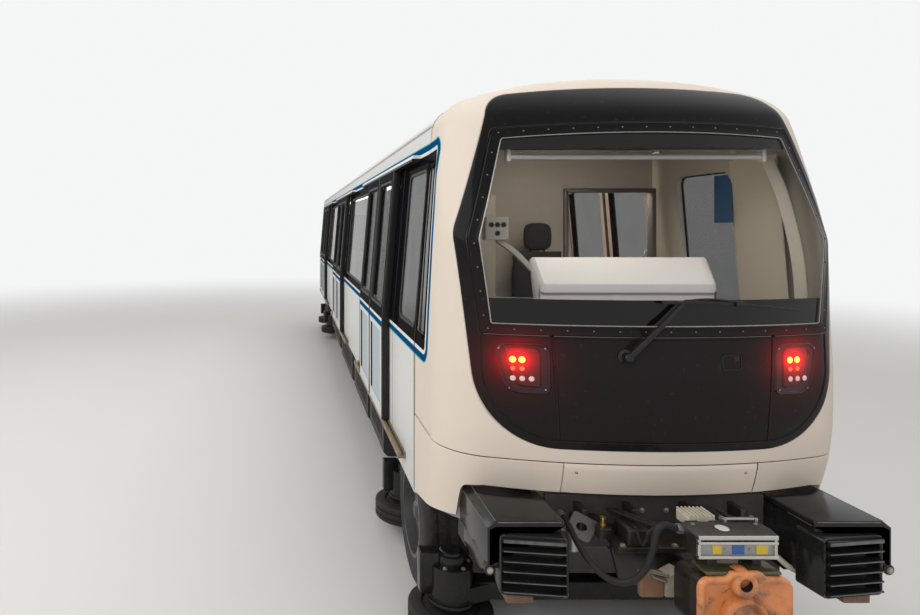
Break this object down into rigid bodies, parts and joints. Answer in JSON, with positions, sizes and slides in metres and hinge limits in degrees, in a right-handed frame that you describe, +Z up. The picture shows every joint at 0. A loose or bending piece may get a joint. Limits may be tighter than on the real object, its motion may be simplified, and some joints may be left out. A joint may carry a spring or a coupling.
{
  "type": "metro car",
  "caption": "Automatic light metro car on rubber tyres, with horizontal guide wheels, a glazed black-masked front, outside sliding door leaves and a seated passenger saloon.",
  "frame": {"origin": "middle of the footprint, on the running surface under the tyres", "axes": "front with the windscreen faces -Y, left side of the car is +X, up is +Z"},
  "size_m": [2.2039, 13.46, 3.31],
  "materials": {
    "ivory_paint": "gloss",
    "white_paint": "gloss",
    "door_paint": "gloss",
    "black_gloss": "gloss",
    "black_rubber": "satin",
    "window_glass": "clear",
    "lamp_housing": "gloss",
    "bumper_black": "gloss",
    "cast_orange": "wet greased",
    "head_aluminium": "satin",
    "draw_steel": "greasy",
    "wiper_black": "matte",
    "rail_bronze": "anodised",
    "frame_grey": "dusty satin",
    "axle_black": "dusty",
    "tyre_rubber": "worn",
    "rim_paint": "satin",
    "floor_grey": "speckled",
    "lining_grey": "satin",
    "console_white": "satin",
    "seat_plastic": "moulded, fine grain",
    "pole_steel": "brushed"
  },
  "bodies": {
    "car_body": {"air_hose": "black_rubber", "anticlimbers": "bumper_black", "apron_wings": "ivory_paint", "attendant_seat": "seat_plastic", "cab_mask": "black_gloss", "cab_partition": "lining_grey", "cab_shell": "ivory_paint", "cantrails": "white_paint", "ceiling": "lining_grey", "console": "console_white", "coupler_cover": "ivory_paint", "coupler_head": "cast_orange", "door_rails": "rail_bronze", "drawgear": "draw_steel", "electric_head": "head_aluminium", "floor": "floor_grey", "front_hatch": "black_gloss", "grab_poles": "pole_steel", "headlamp_housings": "lamp_housing", "headlamp_lenses": "window_glass", "passenger_seats": "seat_plastic", "rear_wall": "white_paint", "roof": "white_paint", "saloon_windows": "window_glass", "side_walls": "white_paint", "underfloor_equipment": "frame_grey", "underframe": "frame_grey", "windscreen": "window_glass", "windscreen_frame": "black_rubber", "wiper": "wiper_black"},
    "front_axle": {"front_axle_frame": "axle_black"},
    "front_wheel_left": {"front_tyre_left": "tyre_rubber", "front_rim_left": "rim_paint"},
    "front_leading_guide_left": {"front_leading_guide_wheel_left": "tyre_rubber"},
    "front_trailing_guide_left": {"front_trailing_guide_wheel_left": "tyre_rubber"},
    "front_wheel_right": {"front_tyre_right": "tyre_rubber", "front_rim_right": "rim_paint"},
    "front_leading_guide_right": {"front_leading_guide_wheel_right": "tyre_rubber"},
    "front_trailing_guide_right": {"front_trailing_guide_wheel_right": "tyre_rubber"},
    "rear_axle": {"rear_axle_frame": "axle_black"},
    "rear_wheel_left": {"rear_tyre_left": "tyre_rubber", "rear_rim_left": "rim_paint"},
    "rear_leading_guide_left": {"rear_leading_guide_wheel_left": "tyre_rubber"},
    "rear_trailing_guide_left": {"rear_trailing_guide_wheel_left": "tyre_rubber"},
    "rear_wheel_right": {"rear_tyre_right": "tyre_rubber", "rear_rim_right": "rim_paint"},
    "rear_leading_guide_right": {"rear_leading_guide_wheel_right": "tyre_rubber"},
    "rear_trailing_guide_right": {"rear_trailing_guide_wheel_right": "tyre_rubber"},
    "door_1_front_left": {"door_1_front_leaf_left": "door_paint"},
    "door_1_rear_left": {"door_1_rear_leaf_left": "door_paint"},
    "door_1_front_right": {"door_1_front_leaf_right": "door_paint"},
    "door_1_rear_right": {"door_1_rear_leaf_right": "door_paint"},
    "door_2_front_left": {"door_2_front_leaf_left": "door_paint"},
    "door_2_rear_left": {"door_2_rear_leaf_left": "door_paint"},
    "door_2_front_right": {"door_2_front_leaf_right": "door_paint"},
    "door_2_rear_right": {"door_2_rear_leaf_right": "door_paint"},
    "door_3_front_left": {"door_3_front_leaf_left": "door_paint"},
    "door_3_rear_left": {"door_3_rear_leaf_left": "door_paint"},
    "door_3_front_right": {"door_3_front_leaf_right": "door_paint"},
    "door_3_rear_right": {"door_3_rear_leaf_right": "door_paint"}
  },
  "joints": [
    {"name": "front_axle_steer", "type": "hinge", "parent": "car_body", "child": "front_axle", "pos_m": [0, -4.79, 0.69], "axis": [0, 0, 1], "range_deg": [-7, 7]},
    {"name": "front_wheel_left_spin", "type": "hinge", "parent": "front_axle", "child": "front_wheel_left", "pos_m": [0.81, -4.79, 0.49], "axis": [1, 0, 0], "continuous": true},
    {"name": "front_leading_guide_left_spin", "type": "hinge", "parent": "front_axle", "child": "front_leading_guide_left", "pos_m": [0.857, -5.49, 0.2], "axis": [0, 0, 1], "continuous": true},
    {"name": "front_trailing_guide_left_spin", "type": "hinge", "parent": "front_axle", "child": "front_trailing_guide_left", "pos_m": [0.857, -4.09, 0.2], "axis": [0, 0, 1], "continuous": true},
    {"name": "front_wheel_right_spin", "type": "hinge", "parent": "front_axle", "child": "front_wheel_right", "pos_m": [-0.81, -4.79, 0.49], "axis": [1, 0, 0], "continuous": true},
    {"name": "front_leading_guide_right_spin", "type": "hinge", "parent": "front_axle", "child": "front_leading_guide_right", "pos_m": [-0.857, -5.49, 0.2], "axis": [0, 0, 1], "continuous": true},
    {"name": "front_trailing_guide_right_spin", "type": "hinge", "parent": "front_axle", "child": "front_trailing_guide_right", "pos_m": [-0.857, -4.09, 0.2], "axis": [0, 0, 1], "continuous": true},
    {"name": "rear_axle_steer", "type": "hinge", "parent": "car_body", "child": "rear_axle", "pos_m": [0, 5.33, 0.69], "axis": [0, 0, 1], "range_deg": [-7, 7]},
    {"name": "rear_wheel_left_spin", "type": "hinge", "parent": "rear_axle", "child": "rear_wheel_left", "pos_m": [0.81, 5.33, 0.49], "axis": [1, 0, 0], "continuous": true},
    {"name": "rear_leading_guide_left_spin", "type": "hinge", "parent": "rear_axle", "child": "rear_leading_guide_left", "pos_m": [0.857, 4.63, 0.2], "axis": [0, 0, 1], "continuous": true},
    {"name": "rear_trailing_guide_left_spin", "type": "hinge", "parent": "rear_axle", "child": "rear_trailing_guide_left", "pos_m": [0.857, 6.03, 0.2], "axis": [0, 0, 1], "continuous": true},
    {"name": "rear_wheel_right_spin", "type": "hinge", "parent": "rear_axle", "child": "rear_wheel_right", "pos_m": [-0.81, 5.33, 0.49], "axis": [1, 0, 0], "continuous": true},
    {"name": "rear_leading_guide_right_spin", "type": "hinge", "parent": "rear_axle", "child": "rear_leading_guide_right", "pos_m": [-0.857, 4.63, 0.2], "axis": [0, 0, 1], "continuous": true},
    {"name": "rear_trailing_guide_right_spin", "type": "hinge", "parent": "rear_axle", "child": "rear_trailing_guide_right", "pos_m": [-0.857, 6.03, 0.2], "axis": [0, 0, 1], "continuous": true},
    {"name": "door_1_front_left_slide", "type": "slide", "parent": "car_body", "child": "door_1_front_left", "axis": [0, -1, 0], "range_m": [0, 0.65]},
    {"name": "door_1_rear_left_slide", "type": "slide", "parent": "car_body", "child": "door_1_rear_left", "axis": [0, 1, 0], "range_m": [0, 0.65]},
    {"name": "door_1_front_right_slide", "type": "slide", "parent": "car_body", "child": "door_1_front_right", "axis": [0, -1, 0], "range_m": [0, 0.65]},
    {"name": "door_1_rear_right_slide", "type": "slide", "parent": "car_body", "child": "door_1_rear_right", "axis": [0, 1, 0], "range_m": [0, 0.65]},
    {"name": "door_2_front_left_slide", "type": "slide", "parent": "car_body", "child": "door_2_front_left", "axis": [0, -1, 0], "range_m": [0, 0.65]},
    {"name": "door_2_rear_left_slide", "type": "slide", "parent": "car_body", "child": "door_2_rear_left", "axis": [0, 1, 0], "range_m": [0, 0.65]},
    {"name": "door_2_front_right_slide", "type": "slide", "parent": "car_body", "child": "door_2_front_right", "axis": [0, -1, 0], "range_m": [0, 0.65]},
    {"name": "door_2_rear_right_slide", "type": "slide", "parent": "car_body", "child": "door_2_rear_right", "axis": [0, 1, 0], "range_m": [0, 0.65]},
    {"name": "door_3_front_left_slide", "type": "slide", "parent": "car_body", "child": "door_3_front_left", "axis": [0, -1, 0], "range_m": [0, 0.65]},
    {"name": "door_3_rear_left_slide", "type": "slide", "parent": "car_body", "child": "door_3_rear_left", "axis": [0, 1, 0], "range_m": [0, 0.65]},
    {"name": "door_3_front_right_slide", "type": "slide", "parent": "car_body", "child": "door_3_front_right", "axis": [0, -1, 0], "range_m": [0, 0.65]},
    {"name": "door_3_rear_right_slide", "type": "slide", "parent": "car_body", "child": "door_3_rear_right", "axis": [0, 1, 0], "range_m": [0, 0.65]}
  ],
  "couplings": [
    {"joint": "door_1_rear_left_slide", "follows": "door_1_front_left_slide", "ratio": 1},
    {"joint": "door_1_rear_right_slide", "follows": "door_1_front_right_slide", "ratio": 1},
    {"joint": "door_2_rear_left_slide", "follows": "door_2_front_left_slide", "ratio": 1},
    {"joint": "door_2_rear_right_slide", "follows": "door_2_front_right_slide", "ratio": 1},
    {"joint": "door_3_rear_left_slide", "follows": "door_3_front_left_slide", "ratio": 1},
    {"joint": "door_3_rear_right_slide", "follows": "door_3_front_right_slide", "ratio": 1}
  ]
}
